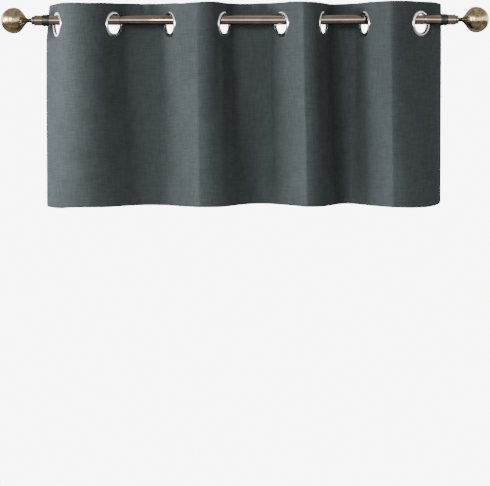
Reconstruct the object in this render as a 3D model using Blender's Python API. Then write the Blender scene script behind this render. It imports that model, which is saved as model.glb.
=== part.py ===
"""A short eyelet-topped window valance, hanging in folds on a metal curtain rod with ball finials.

Metres, +Z up. The origin is on the rod's axis at the middle of its length, +X runs along the rod to
the right, and the front of the cloth faces -Y. The cloth is laid out flat first, as s along its width
and v up from the row of eyelet centres, and then hung: each flat point is looked up on a plan section
that changes from the header's folds to the hem's.
"""
import math

import bmesh
import bpy
import numpy as np
from mathutils import Matrix

# The cloth as it is cut: one hemmed rectangle with a row of eyelets near its top edge.
CLOTH_WIDTH = 1.321
CLOTH_DROP = 0.457
CLOTH_THICKNESS = 0.0015
HEADER_ABOVE_EYELETS = 0.0478
CORNER_RADIUS = 0.008
HEM_DEPTH = 0.040

# One eyelet: a front cap whose barrel goes through the cloth, and a back ring that grips it.
EYELET_OUTER_RADIUS = 0.0293
EYELET_BORE_RADIUS = 0.0206
EYELET_LIP_RADIUS = 0.0020
BARREL_OUTER_RADIUS = 0.0220
BARREL_REACH = 0.0027
CLOTH_HOLE_RADIUS = 0.0224
BACK_RING_OUTER_RADIUS = 0.0280
BACK_RING_DEPTH = 0.0022
FLAT_HALF = 0.031

# The rod, its two collar bands and its two turned finials.
ROD_RADIUS = 0.011
ROD_WALL = 0.0008
ROD_HALF_LENGTH = 0.4568
COLLAR_RADIUS = 0.0135
COLLAR_START = 0.4420
COLLAR_LENGTH = 0.0145
FINIAL_BASE_RADIUS = 0.0119
FINIAL_BASE_END = 0.4760
FINIAL_STEP_RADIUS = 0.0098
FINIAL_STEP_END = 0.4815
FINIAL_NECK_RADIUS = 0.0043
FINIAL_NECK_X = 0.4880
BALL_CENTRE_X = 0.5220
BALL_RADIUS = 0.0295
SPIGOT_LENGTH = 0.022

# Between two pieces that would touch, and between an eyelet's lip and the rod it hangs on.
GAP = 0.0003
SEAT_GAP = 0.0004

# How the turned pieces' corners are broken, and the finial's onion shape below its ball.
METAL_CHAMFER = 0.0006
RING_CHAMFER = 0.0004
DOME_HEIGHT = 0.0030
DOME_TURNS = (15.0, 40.0, 65.0, 90.0, 122.0, 150.0)
EDGE_HEIGHT = 0.0003
BACK_RING_BEVEL = 0.0018
BACK_RING_EDGE = 0.0009
BALL_SHOULDER = 0.008
ONION_START = 0.027
ONION_PULL = 0.020

# How finely the pieces are divided. The header's corners are less round than the hem's.
RING_SIDES = 24
ROUND_SIDES = 32
HOLE_SIDES = 16
PATCH_CELLS = 4
FOLD_CELLS = 12
MARGIN_CELLS = 3
CURVE_STEPS = 40
DROP_CELLS = 6
ONION_CELLS = 6
BALL_CELLS = 9
CORNER_SHARES = (0.12, 0.45, 1.0)
HEADER_CORNER_SHARE = 0.3
CLOTH_SHARP_ANGLE = 50.0
METAL_SHARP_ANGLE = 38.0

# A fold's depth is looked for between these two, by halving the range this many times.
SHALLOWEST_FOLD = 0.020
DEEPEST_FOLD = 0.120
HALVINGS = 40

# The share of the hem's folds that comes in evenly down the cloth; the rest comes in smoothly.
EVEN_SHARE = 0.65

# A row for each eyelet: its place along the rod, and how far the cloth there is turned away from
# facing the front, positive where it runs back from the viewer on its way to the right.
EYELETS = (
    # name, x, turn in degrees
    ("1", -0.4231, -65.0),
    ("2", -0.2960, 55.0),
    ("3", -0.1693, -61.0),
    ("4", -0.0470, 61.0),
    ("5", 0.0825, -56.0),
    ("6", 0.1770, 67.5),
    ("7", 0.2700, -69.0),
    ("8", 0.3970, 43.0),
)

# A row for each fold between two eyelets, crests and troughs in turn, with the length of cloth from
# the one eyelet's centre to the other's. That length sets the fold's depth, which isn't listed. A
# reach is how far the curve keeps its way past a point, so a short reach on one side of a crest makes
# the pressed crease there.
HEADER_FOLDS = (
    # x, cloth, turn in degrees, reach from the left eyelet, before, after, reach to the right eyelet
    (-0.3680, 0.179, 0.0, 0.30, 0.40, 0.37, 0.34),
    (-0.2130, 0.174, 0.0, 0.28, 0.54, 0.72, 0.06),
    (-0.1058, 0.176, -2.0, 0.18, 0.03, 0.66, 0.20),
    (0.0440, 0.175, 0.0, 0.34, 0.32, 0.70, 0.08),
    (0.1299, 0.154, 2.0, 0.18, 0.03, 0.62, 0.20),
    (0.2418, 0.158, 0.0, 0.32, 0.32, 0.66, 0.08),
    (0.3250, 0.174, 2.0, 0.18, 0.03, 0.34, 0.26),
)

# A row for each place along the hem: the two side edges and the folds between them.
HEM_FOLDS = (
    # x, y, turn in degrees, reach before, reach after
    (-0.4520, 0.0290, -70.0, 0.00, 0.36),
    (-0.3600, -0.0490, 0.0, 0.46, 0.40),
    (-0.2030, 0.0480, 0.0, 0.40, 0.26),
    (-0.1025, -0.0490, -4.0, 0.03, 0.46),
    (0.0400, 0.0590, 0.0, 0.34, 0.18),
    (0.1370, -0.0500, 0.0, 0.03, 0.42),
    (0.2420, 0.0580, 0.0, 0.34, 0.08),
    (0.3277, -0.0630, -4.0, 0.03, 0.46),
    (0.4398, -0.0050, 38.0, 0.28, 0.00),
)

# The two side edges relax a little beyond their eyelets, and the top left corner leans inwards.
LEFT_EDGE_TURN = -49.5
RIGHT_EDGE_TURN = 28.0
LEFT_CORNER_LEAN = 0.0070

# Where the eyelets' centres lie along the flat cloth, between two equal side margins.
FOLD_CLOTH = [row[1] for row in HEADER_FOLDS]
SIDE_MARGIN = (CLOTH_WIDTH - sum(FOLD_CLOTH)) / 2
EYELET_PLACES = [SIDE_MARGIN + sum(FOLD_CLOTH[:index]) for index in range(len(EYELETS))]

SLATE_CLOTH = (0.052, 0.062, 0.066)
BRIGHT_METAL = (0.72, 0.73, 0.74)
ANTIQUE_BRASS = (0.19, 0.135, 0.085)
DARK_STEEL = (0.055, 0.058, 0.065)


def direction(turn):
    """The way the cloth runs in plan, to the right, for a turn in degrees."""
    angle = math.radians(turn)
    return np.array((math.cos(angle), math.sin(angle)))


def bezier(start, start_turn, start_reach, end, end_turn, end_reach):
    """Points of a smooth curve in plan, without its first. A reach is a share of the span."""
    start = np.asarray(start, float)
    end = np.asarray(end, float)
    span = np.linalg.norm(end - start)
    near = start + direction(start_turn) * span * start_reach
    far = end - direction(end_turn) * span * end_reach
    t = np.linspace(0.0, 1.0, CURVE_STEPS + 1)[1:, None]
    u = 1.0 - t
    return u**3 * start + 3 * u**2 * t * near + 3 * u * t**2 * far + t**3 * end


def lengths_along(points):
    """The running length at each point of a plan curve."""
    steps = np.linalg.norm(np.diff(points, axis=0), axis=1)
    return np.concatenate(([0.0], np.cumsum(steps)))


def fold_curve(index, depth):
    """The header's curve from one eyelet to the next, for a fold that reaches y = depth."""
    _, x_left, turn_left = EYELETS[index]
    _, x_right, turn_right = EYELETS[index + 1]
    x, _, turn, from_left, before, after, to_right = HEADER_FOLDS[index]
    left = np.array((x_left, 0.0))
    right = np.array((x_right, 0.0))
    leave = left + direction(turn_left) * FLAT_HALF
    arrive = right - direction(turn_right) * FLAT_HALF
    top = (x, depth)
    first = bezier(leave, turn_left, from_left, top, turn, before)
    second = bezier(top, turn, after, arrive, turn_right, to_right)
    points = np.vstack((left, leave, first, second, right))
    return points, len(first) + 1


def solve_fold(index):
    """The fold that takes its length of cloth, found by halving the range of its depth."""
    side = 1.0 if EYELETS[index][2] > 0 else -1.0
    shallow, deep = SHALLOWEST_FOLD, DEEPEST_FOLD
    for _ in range(HALVINGS):
        middle = (shallow + deep) / 2
        points, _ = fold_curve(index, side * middle)
        if lengths_along(points)[-1] < FOLD_CLOTH[index]:
            shallow = middle
        else:
            deep = middle
    return fold_curve(index, side * deep)


def margin_curve(index, edge_turn, outward):
    """From an end eyelet's centre to the cloth's side edge; outward is -1 at the left, 1 at right."""
    _, x, turn = EYELETS[index]
    centre = np.array((x, 0.0))
    leave = centre + outward * direction(turn) * FLAT_HALF
    rest = SIDE_MARGIN - FLAT_HALF
    points = [centre, leave]
    for step in range(MARGIN_CELLS):
        share = (step + 1) / MARGIN_CELLS
        now = turn + (edge_turn - turn) * share
        points.append(points[-1] + outward * direction(now) * rest / MARGIN_CELLS)
    return np.array(points)


def header_section():
    """The plan curve at the eyelets: points, their place along the cloth, and the stations' places."""
    left = margin_curve(0, LEFT_EDGE_TURN, -1.0)[::-1]
    points = [left]
    places = [SIDE_MARGIN - lengths_along(left[::-1])[::-1]]
    stations = [0.0]
    for index in range(len(EYELETS) - 1):
        curve, top = solve_fold(index)
        along = EYELET_PLACES[index] + lengths_along(curve)
        points.append(curve[1:])
        places.append(along[1:])
        stations.append(along[top])
    right = margin_curve(len(EYELETS) - 1, RIGHT_EDGE_TURN, 1.0)
    points.append(right[1:])
    places.append(CLOTH_WIDTH - SIDE_MARGIN + lengths_along(right)[1:])
    stations.append(CLOTH_WIDTH)
    return np.vstack(points), np.concatenate(places), stations


def hem_section(stations):
    """The plan curve at the hem, with the same places along the cloth at its edges and folds."""
    points = [np.array(HEM_FOLDS[0][:2])[None, :]]
    places = [np.array((0.0,))]
    for index in range(len(HEM_FOLDS) - 1):
        x0, y0, turn0, _, after = HEM_FOLDS[index]
        x1, y1, turn1, before, _ = HEM_FOLDS[index + 1]
        curve = bezier((x0, y0), turn0, after, (x1, y1), turn1, before)
        run = lengths_along(np.vstack((points[-1][-1], curve)))[1:]
        share = run / run[-1]
        points.append(curve)
        places.append(stations[index] + (stations[index + 1] - stations[index]) * share)
    return np.vstack(points), np.concatenate(places)


def seat_drop(turn):
    """How far an eyelet's centre hangs below the rod's axis when its bore rests on the rod.

    Seen along the rod, the middle line of the eyelet's rounded lip is an ellipse. Where that ellipse
    is narrow the rod rests against its two shoulders, and where it is wide, against its top.
    """
    ring = EYELET_BORE_RADIUS + EYELET_LIP_RADIUS
    reach = ROD_RADIUS + EYELET_LIP_RADIUS + SEAT_GAP
    half_width = ring * abs(math.sin(math.radians(turn)))
    if half_width**2 / ring >= reach:
        return ring - reach
    return math.sqrt((ring**2 - half_width**2) * (1.0 - reach**2 / half_width**2))


HEADER_POINTS, HEADER_PLACES, STATIONS = header_section()
HEM_POINTS, HEM_PLACES = hem_section(STATIONS)
EYELET_DROPS = [seat_drop(turn) for _, _, turn in EYELETS]


def hem_share(v):
    """0 around the eyelets, where the cloth stays flat, growing to 1 at the hem."""
    bottom = HEADER_ABOVE_EYELETS - CLOTH_DROP
    depth = min(max((v + FLAT_HALF) / (bottom + FLAT_HALF), 0.0), 1.0)
    smooth = depth * depth * (3.0 - 2.0 * depth)
    return depth * EVEN_SHARE + smooth * (1.0 - EVEN_SHARE)


def corner_lean(s, v):
    """How far the free top left corner leans to the right."""
    free = SIDE_MARGIN - FLAT_HALF
    out = max(0.0, (free - s) / free)
    up = min(max((v + FLAT_HALF) / (HEADER_ABOVE_EYELETS + FLAT_HALF), 0.0), 1.0)
    return LEFT_CORNER_LEAN * out**1.5 * up


def plan_point(s, v):
    """Where a flat point lies in plan once the cloth hangs."""
    header = np.array([np.interp(s, HEADER_PLACES, HEADER_POINTS[:, axis]) for axis in (0, 1)])
    hem = np.array([np.interp(s, HEM_PLACES, HEM_POINTS[:, axis]) for axis in (0, 1)])
    share = hem_share(v)
    point = header * (1.0 - share) + hem * share
    point[0] += corner_lean(s, v)
    return point


def hang(s, v, lift):
    """A flat point hung in place, lift metres in front of the cloth's middle layer."""
    step = 0.0005
    before = plan_point(max(s - step, 0.0), v)
    after = plan_point(min(s + step, CLOTH_WIDTH), v)
    along = (after - before) / np.linalg.norm(after - before)
    x, y = plan_point(s, v) + lift * np.array((along[1], -along[0]))
    z = v - np.interp(s, EYELET_PLACES, EYELET_DROPS)
    return x, y, z


def edge_rounding(s):
    """How much the top and bottom edges draw in near the sheet's rounded corners."""
    near = min(s, CLOTH_WIDTH - s)
    if near >= CORNER_RADIUS:
        return 0.0
    return CORNER_RADIUS - math.sqrt(CORNER_RADIUS**2 - (CORNER_RADIUS - near) ** 2)


def spaced(start, end, cells):
    """Even steps from start to end, without the start."""
    return [start + (end - start) * (step + 1) / cells for step in range(cells)]


def fold_columns(index):
    """Columns from one eyelet's flat patch to the next, with one of them on the fold's own line."""
    start = EYELET_PLACES[index] + FLAT_HALF
    station = STATIONS[index + 1]
    end = EYELET_PLACES[index + 1] - FLAT_HALF
    before = round(FOLD_CELLS * (station - start) / (end - start))
    return spaced(start, station, before) + spaced(station, end, FOLD_CELLS - before)


def column_places():
    """The grid's columns along the width, and the first column of each eyelet's flat patch."""
    columns = [0.0] + [CORNER_RADIUS * share for share in CORNER_SHARES]
    patches = []
    columns += spaced(columns[-1], SIDE_MARGIN - FLAT_HALF, MARGIN_CELLS)
    for index, centre in enumerate(EYELET_PLACES):
        patches.append(len(columns) - 1)
        columns += spaced(centre - FLAT_HALF, centre + FLAT_HALF, PATCH_CELLS)
        if index < len(EYELETS) - 1:
            columns += fold_columns(index)
    rim = CLOTH_WIDTH - CORNER_RADIUS
    columns += spaced(columns[-1], rim, MARGIN_CELLS)
    columns += [CLOTH_WIDTH - CORNER_RADIUS * share for share in CORNER_SHARES[-2::-1]]
    columns.append(CLOTH_WIDTH)
    return columns, patches


def row_heights():
    """The grid's rows from the top edge down, and the first row of the eyelets' flat patches."""
    rows = [HEADER_ABOVE_EYELETS, FLAT_HALF]
    patch = len(rows) - 1
    rows += spaced(FLAT_HALF, -FLAT_HALF, PATCH_CELLS)
    bottom = HEADER_ABOVE_EYELETS - CLOTH_DROP
    rows += spaced(-FLAT_HALF, bottom + HEM_DEPTH, DROP_CELLS)
    rows.append(bottom)
    return rows, patch


def flat_sheet():
    """The flat sheet as points (s, v) and faces, with a round hole at each eyelet."""
    columns, patches = column_places()
    rows, top_row = row_heights()
    width = len(columns)
    points = []
    for row, v in enumerate(rows):
        for s in columns:
            pull = edge_rounding(s)
            shift = -pull * HEADER_CORNER_SHARE if row == 0 else pull if row == len(rows) - 1 else 0.0
            points.append((s, v + shift))
    patch_columns = {first + step for first in patches for step in range(PATCH_CELLS)}
    patch_rows = set(range(top_row, top_row + PATCH_CELLS))
    faces = []
    for row in range(len(rows) - 1):
        for column in range(width - 1):
            if row in patch_rows and column in patch_columns:
                continue
            corner = row * width + column
            faces.append((corner, corner + width, corner + width + 1, corner + 1))
    for index, first in enumerate(patches):
        add_eyelet_patch(points, faces, index, first, top_row, width)
    return points, faces


def add_eyelet_patch(points, faces, index, first, top_row, width):
    """Joins the square gap round one eyelet to its round hole."""
    square = []
    for step in range(PATCH_CELLS):
        square.append(top_row * width + first + PATCH_CELLS - step)
    for step in range(PATCH_CELLS):
        square.append((top_row + step) * width + first)
    for step in range(PATCH_CELLS):
        square.append((top_row + PATCH_CELLS) * width + first + step)
    for step in range(PATCH_CELLS):
        square.append((top_row + PATCH_CELLS - step) * width + first + PATCH_CELLS)
    outside = CLOTH_HOLE_RADIUS / math.cos(math.pi / HOLE_SIDES)
    hole = []
    for side in range(HOLE_SIDES):
        angle = math.pi / 4 + 2 * math.pi * side / HOLE_SIDES
        hole.append(len(points))
        points.append((EYELET_PLACES[index] + outside * math.cos(angle), outside * math.sin(angle)))
    for side in range(HOLE_SIDES):
        after = (side + 1) % HOLE_SIDES
        faces.append((square[side], square[after], hole[after], hole[side]))


def boundary_edges(faces):
    """The edges that only one face uses, in that face's direction."""
    edges = {}
    for face in faces:
        for start, end in zip(face, face[1:] + face[:1]):
            edges[(start, end)] = True
    return [edge for edge in edges if (edge[1], edge[0]) not in edges]


def material(name, colour, roughness, metallic):
    """A plain Principled material."""
    made = bpy.data.materials.new(name)
    made.use_nodes = True
    shader = made.node_tree.nodes["Principled BSDF"]
    shader.inputs["Base Color"].default_value = (*colour, 1.0)
    shader.inputs["Roughness"].default_value = roughness
    shader.inputs["Metallic"].default_value = metallic
    return made


def add_object(name, mesh, made):
    """Puts a mesh into the scene under its piece's name."""
    mesh.materials.append(made)
    piece = bpy.data.objects.new(name, mesh)
    bpy.context.scene.collection.objects.link(piece)
    return piece


def build_cloth():
    """The cloth: the flat sheet hung in its folds, with a front and a back layer and closed rims."""
    points, faces = flat_sheet()
    half = CLOTH_THICKNESS / 2
    front = [hang(s, v, half) for s, v in points]
    back = [hang(s, v, -half) for s, v in points]
    count = len(points)
    solid = list(faces)
    solid += [tuple(count + corner for corner in reversed(face)) for face in faces]
    solid += [(end, start, count + start, count + end) for start, end in boundary_edges(faces)]
    mesh = bpy.data.meshes.new("valance_cloth")
    mesh.from_pydata(front + back, [], solid)
    mesh.shade_smooth()
    mesh.set_sharp_from_angle(angle=math.radians(CLOTH_SHARP_ANGLE))
    return add_object("valance_cloth", mesh, material("slate_cloth", SLATE_CLOTH, 0.9, 0.0))


def turned_mesh(name, profile, sides):
    """A closed profile of (radius, height) points turned about Z. It runs anticlockwise.

    A point with radius 0 becomes a pole.
    """
    mesh = bpy.data.meshes.new(name)
    body = bmesh.new()
    loops = []
    for radius, height in profile:
        if radius == 0.0:
            loops.append([body.verts.new((0.0, 0.0, height))] * sides)
            continue
        angles = [2 * math.pi * side / sides for side in range(sides)]
        loops.append([body.verts.new((radius * math.cos(a), radius * math.sin(a), height)) for a in angles])
    hollow = all(radius > 0.0 for radius, _ in profile)
    pairs = list(zip(loops, loops[1:]))
    if hollow:
        pairs.append((loops[-1], loops[0]))
    for lower, upper in pairs:
        for side in range(sides):
            after = (side + 1) % sides
            corners = [lower[side], lower[after], upper[after], upper[side]]
            body.faces.new(list(dict.fromkeys(corners)))
    bmesh.ops.recalc_face_normals(body, faces=body.faces)
    body.to_mesh(mesh)
    body.free()
    mesh.shade_smooth()
    mesh.set_sharp_from_angle(angle=math.radians(METAL_SHARP_ANGLE))
    return mesh


def arc(centre_radius, centre_height, radius, start, end, steps):
    """Points of an arc in a turned profile, with angles in degrees from the outward direction."""
    points = []
    for step in range(steps + 1):
        angle = math.radians(start + (end - start) * step / steps)
        points.append((centre_radius + radius * math.cos(angle), centre_height + radius * math.sin(angle)))
    return points


def cap_profile():
    """The front cap: a domed ring that covers the cloth's edge and rolls into the barrel."""
    seat = CLOTH_THICKNESS / 2 + GAP
    lip = EYELET_LIP_RADIUS
    ring = EYELET_BORE_RADIUS + lip
    profile = [(BARREL_OUTER_RADIUS, -BARREL_REACH), (BARREL_OUTER_RADIUS, seat)]
    profile += [(EYELET_OUTER_RADIUS, seat)]
    half = (EYELET_OUTER_RADIUS - EYELET_BORE_RADIUS) / 2
    for turn in DOME_TURNS:
        across, up = math.cos(math.radians(turn)), math.sin(math.radians(turn))
        profile.append((EYELET_BORE_RADIUS + half + half * across, max(DOME_HEIGHT * up, seat + EDGE_HEIGHT)))
    profile += arc(ring, 0.0, lip, 180.0, 232.0, 2)
    return profile


def back_profile():
    """The back ring: a flat underside against the cloth and a rounded outer face."""
    near = -(CLOTH_THICKNESS / 2 + GAP)
    far = near - BACK_RING_DEPTH
    inner = BARREL_OUTER_RADIUS + GAP
    outer = BACK_RING_OUTER_RADIUS
    return [
        (outer, near),
        (inner, near),
        (inner, far + RING_CHAMFER),
        (inner + RING_CHAMFER, far),
        (outer - BACK_RING_BEVEL, far),
        (outer, near - BACK_RING_EDGE),
    ]


def build_eyelet(index, cap_mesh, back_mesh, metal):
    """One eyelet: its cap and its back ring, turned with the cloth and hung on the rod."""
    name, x, turn = EYELETS[index]
    place = Matrix.Translation((x, 0.0, -EYELET_DROPS[index]))
    facing = Matrix.Rotation(math.radians(turn), 4, "Z") @ Matrix.Rotation(math.radians(90.0), 4, "X")
    for part, mesh in (("front", cap_mesh), ("back", back_mesh)):
        piece = add_object(f"eyelet_{name}_{part}", mesh.copy(), metal)
        piece.matrix_world = place @ facing


def build_eyelets():
    """All the eyelets share two turned shapes."""
    metal = material("bright_metal", BRIGHT_METAL, 0.2, 1.0)
    cap_mesh = turned_mesh("eyelet_cap", cap_profile(), RING_SIDES)
    back_mesh = turned_mesh("eyelet_back", back_profile(), RING_SIDES)
    for index in range(len(EYELETS)):
        build_eyelet(index, cap_mesh, back_mesh, metal)


def along_rod(side):
    """Turns a profile's height into distance along the rod, to the right for side 1."""
    return Matrix.Rotation(math.radians(90.0 * side), 4, "Y")


def build_rod(brass):
    """The rod: one plain tube, open at both ends."""
    bore = ROD_RADIUS - ROD_WALL
    half = ROD_HALF_LENGTH
    profile = [(ROD_RADIUS, -half), (ROD_RADIUS, half), (bore, half), (bore, -half)]
    rod = add_object("curtain_rod", turned_mesh("curtain_rod", profile, ROUND_SIDES), brass)
    rod.matrix_world = along_rod(1)


def build_collars():
    """The two dark bands round the rod's ends."""
    steel = material("dark_steel", DARK_STEEL, 0.4, 0.6)
    inner = ROD_RADIUS + GAP
    end = COLLAR_START + COLLAR_LENGTH
    edge = METAL_CHAMFER
    profile = [
        (inner, COLLAR_START),
        (COLLAR_RADIUS - edge, COLLAR_START),
        (COLLAR_RADIUS, COLLAR_START + edge),
        (COLLAR_RADIUS, end - edge),
        (COLLAR_RADIUS - edge, end),
        (inner, end),
    ]
    for name, side in (("left", -1), ("right", 1)):
        piece = add_object(f"collar_{name}", turned_mesh("collar", profile, ROUND_SIDES), steel)
        piece.matrix_world = along_rod(side)


def onion_curve():
    """The finial's outline from its neck to the ball, meeting the ball without a corner."""
    shoulder_radius = math.sqrt(BALL_RADIUS**2 - BALL_SHOULDER**2)
    slope = BALL_SHOULDER / shoulder_radius
    controls = (
        (FINIAL_NECK_RADIUS, FINIAL_NECK_X),
        (FINIAL_NECK_RADIUS, BALL_CENTRE_X - ONION_START),
        (shoulder_radius - (ONION_PULL - BALL_SHOULDER) * slope, BALL_CENTRE_X - ONION_PULL),
        (shoulder_radius, BALL_CENTRE_X - BALL_SHOULDER),
    )
    points = []
    for step in range(1, ONION_CELLS + 1):
        t = step / ONION_CELLS
        weights = ((1 - t) ** 3, 3 * t * (1 - t) ** 2, 3 * t**2 * (1 - t), t**3)
        radius = sum(weight * point[0] for weight, point in zip(weights, controls))
        x = sum(weight * point[1] for weight, point in zip(weights, controls))
        points.append((radius, x))
    return points


def finial_profile():
    """A finial: a spigot for the rod's bore, a round base, a step, a thin neck and an onion ball."""
    base = ROD_HALF_LENGTH + GAP
    spigot = ROD_RADIUS - ROD_WALL - GAP
    edge = METAL_CHAMFER
    profile = [(0.0, base - SPIGOT_LENGTH), (spigot, base - SPIGOT_LENGTH), (spigot, base)]
    profile += [(FINIAL_BASE_RADIUS, base), (FINIAL_BASE_RADIUS, FINIAL_BASE_END - edge)]
    profile += [(FINIAL_BASE_RADIUS - edge, FINIAL_BASE_END), (FINIAL_STEP_RADIUS, FINIAL_BASE_END)]
    profile += [(FINIAL_STEP_RADIUS, FINIAL_STEP_END), (FINIAL_NECK_RADIUS, FINIAL_NECK_X)]
    profile += onion_curve()
    start = math.degrees(math.asin(-BALL_SHOULDER / BALL_RADIUS))
    last = 90.0 - (90.0 - start) / (BALL_CELLS + 1)
    profile += arc(0.0, BALL_CENTRE_X, BALL_RADIUS, start, last, BALL_CELLS)[1:]
    profile.append((0.0, BALL_CENTRE_X + BALL_RADIUS))
    return profile


def build_finials(brass):
    """The same turned finial at both ends of the rod."""
    for name, side in (("left", -1), ("right", 1)):
        mesh = turned_mesh("finial", finial_profile(), ROUND_SIDES)
        piece = add_object(f"finial_{name}", mesh, brass)
        piece.matrix_world = along_rod(side)


def clear_scene():
    """Starts from an empty scene."""
    for old in list(bpy.data.objects):
        bpy.data.objects.remove(old, do_unlink=True)


def main():
    """Builds every piece."""
    clear_scene()
    build_cloth()
    build_eyelets()
    brass = material("antique_brass", ANTIQUE_BRASS, 0.35, 1.0)
    build_rod(brass)
    build_collars()
    build_finials(brass)


main()
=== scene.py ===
# %% [markdown]
# # A short eyelet valance on an aged brass rod
#
# A valance is a short curtain that hangs from a rod of its own, for show. This one is a single hemmed
# strip of slate blue-grey cloth with a row of metal eyelets, threaded on a slim rod that ends in two
# onion-shaped brass balls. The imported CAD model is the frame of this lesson: it fixes every place and
# every size, and each step below makes one part look like the real thing inside that frame.
# Everything is in metres with +Z up, +X runs along the rod to the right, and the room is at -Y.

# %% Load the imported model
import math

import bmesh
import bpy
import numpy as np
from mathutils import Matrix, Vector


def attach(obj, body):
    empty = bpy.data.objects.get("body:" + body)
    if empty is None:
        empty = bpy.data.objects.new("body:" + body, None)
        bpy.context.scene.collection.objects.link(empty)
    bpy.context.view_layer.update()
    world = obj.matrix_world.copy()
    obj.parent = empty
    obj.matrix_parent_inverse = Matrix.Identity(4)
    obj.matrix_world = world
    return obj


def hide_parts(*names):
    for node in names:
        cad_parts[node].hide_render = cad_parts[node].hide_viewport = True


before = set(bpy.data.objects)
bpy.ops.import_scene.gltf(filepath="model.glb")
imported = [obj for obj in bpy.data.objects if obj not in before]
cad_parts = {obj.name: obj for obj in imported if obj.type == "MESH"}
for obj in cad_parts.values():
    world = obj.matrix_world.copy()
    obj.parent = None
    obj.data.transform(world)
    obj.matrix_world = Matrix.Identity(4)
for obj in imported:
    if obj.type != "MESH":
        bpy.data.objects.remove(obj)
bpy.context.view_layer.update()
scene = bpy.context.scene


def add_object(name, data):
    """Puts a new object with this data into the scene."""
    made = bpy.data.objects.new(name, data)
    scene.collection.objects.link(made)
    return made


print("CAD nodes:", len(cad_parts))

# %% [markdown]
# ## The camera
#
# The picture was taken from straight in front, a little over three metres away and a hand's length
# below the rod, yet the rod sits high in it. A real camera would be tilted up for that, and the cloth
# would lean. The upright lines are parallel here, so the camera stays level and its lens is shifted
# instead, as on an architect's camera.

# %% Place the camera
SENSOR_WIDTH = 36.0
PICTURE_WIDTH = 490
METRES_PER_PIXEL = 0.002259
CAMERA_DISTANCE = 3.2
EYE_HEIGHT = -0.1805
ROLL = -0.118
SHIFT_X = -0.0002
SHIFT_Y = -143 / PICTURE_WIDTH

camera = add_object("camera", bpy.data.cameras.new("camera"))
camera.data.sensor_width = SENSOR_WIDTH
camera.data.lens = SENSOR_WIDTH * CAMERA_DISTANCE / (PICTURE_WIDTH * METRES_PER_PIXEL)
camera.data.shift_x = SHIFT_X
camera.data.shift_y = SHIFT_Y
level = Matrix.Rotation(math.radians(90.0), 4, "X") @ Matrix.Rotation(math.radians(ROLL), 4, "Z")
camera.matrix_world = Matrix.Translation((0.0, -CAMERA_DISTANCE, EYE_HEIGHT)) @ level
scene.camera = camera
print("lens in mm:", round(camera.data.lens, 1))

# %% [markdown]
# ## How the cloth hangs
#
# Cloth can't stretch to fit a picture, so it isn't modelled in space. It is laid out flat first, with
# s along its width and v up from the row of eyelet centres, and then hung. Two curves seen from above
# say how: one through the eyelets, and one along the hem. Between two eyelets there is a fixed length
# of cloth, and a fold has to be exactly as deep as that length makes it, so its depth is searched for
# instead of guessed. These are the same sizes that the CAD solid was made from.

# %% The cloth's sizes and folds
CLOTH_WIDTH = 1.321
CLOTH_DROP = 0.457
THICKNESS = 0.0015
HEADER_TOP = 0.0478
BOTTOM = HEADER_TOP - CLOTH_DROP
CORNER_RADIUS = 0.008
HEADER_CORNER_SHARE = 0.3
FLAT_HALF = 0.031
BORE_RADIUS = 0.0206
LIP_RADIUS = 0.0020
ROD_RADIUS = 0.011
SEAT_GAP = 0.0004

EYELETS = (
    # x, turn in degrees
    (-0.4231, -65.0),
    (-0.296, 55.0),
    (-0.1693, -61.0),
    (-0.047, 61.0),
    (0.0825, -56.0),
    (0.177, 67.5),
    (0.27, -69.0),
    (0.397, 43.0),
)
HEADER_FOLDS = (
    # x, cloth, turn, reach from the left eyelet, before, after, reach to the right eyelet
    (-0.368, 0.179, 0.0, 0.3, 0.4, 0.37, 0.34),
    (-0.213, 0.174, 0.0, 0.28, 0.54, 0.72, 0.06),
    (-0.1058, 0.176, -2.0, 0.18, 0.03, 0.66, 0.2),
    (0.044, 0.175, 0.0, 0.34, 0.32, 0.7, 0.08),
    (0.1299, 0.154, 2.0, 0.18, 0.03, 0.62, 0.2),
    (0.2418, 0.158, 0.0, 0.32, 0.32, 0.66, 0.08),
    (0.325, 0.174, 2.0, 0.18, 0.03, 0.34, 0.26),
)
HEM_FOLDS = (
    # x, y, turn, reach before, reach after
    (-0.452, 0.029, -70.0, 0.00, 0.36),
    (-0.36, -0.049, 0.0, 0.46, 0.4),
    (-0.203, 0.048, 0.0, 0.4, 0.26),
    (-0.1025, -0.049, -4.0, 0.03, 0.46),
    (0.04, 0.059, 0.0, 0.34, 0.18),
    (0.137, -0.05, 0.0, 0.03, 0.42),
    (0.242, 0.058, 0.0, 0.34, 0.08),
    (0.3277, -0.063, -4.0, 0.03, 0.46),
    (0.4398, -0.005, 38.0, 0.28, 0.00),
)
LEFT_EDGE_TURN = -49.5
RIGHT_EDGE_TURN = 28.0
LEFT_CORNER_LEAN = 0.0070
EDGE_CELLS = 3
CURVE_STEPS = 40
SHALLOWEST_FOLD = 0.020
DEEPEST_FOLD = 0.120
HALVINGS = 40
EVEN_SHARE = 0.65

FOLD_CLOTH = [row[1] for row in HEADER_FOLDS]
SIDE_MARGIN = (CLOTH_WIDTH - sum(FOLD_CLOTH)) / 2
EYELET_PLACES = [SIDE_MARGIN + sum(FOLD_CLOTH[:index]) for index in range(len(EYELETS))]
print("eyelets along the flat cloth in mm:", [round(1000 * place) for place in EYELET_PLACES])


# %% Curves seen from above
def direction(turn):
    """The way the cloth runs in plan, to the right, for a turn in degrees."""
    angle = math.radians(turn)
    return np.array((math.cos(angle), math.sin(angle)))


def cubic(controls, steps):
    """Points of the curve that four control points pull into shape, without its first."""
    start, near, far, end = controls
    t = np.linspace(0.0, 1.0, steps + 1)[1:, None]
    u = 1.0 - t
    return u**3 * start + 3 * u**2 * t * near + 3 * u * t**2 * far + t**3 * end


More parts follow.
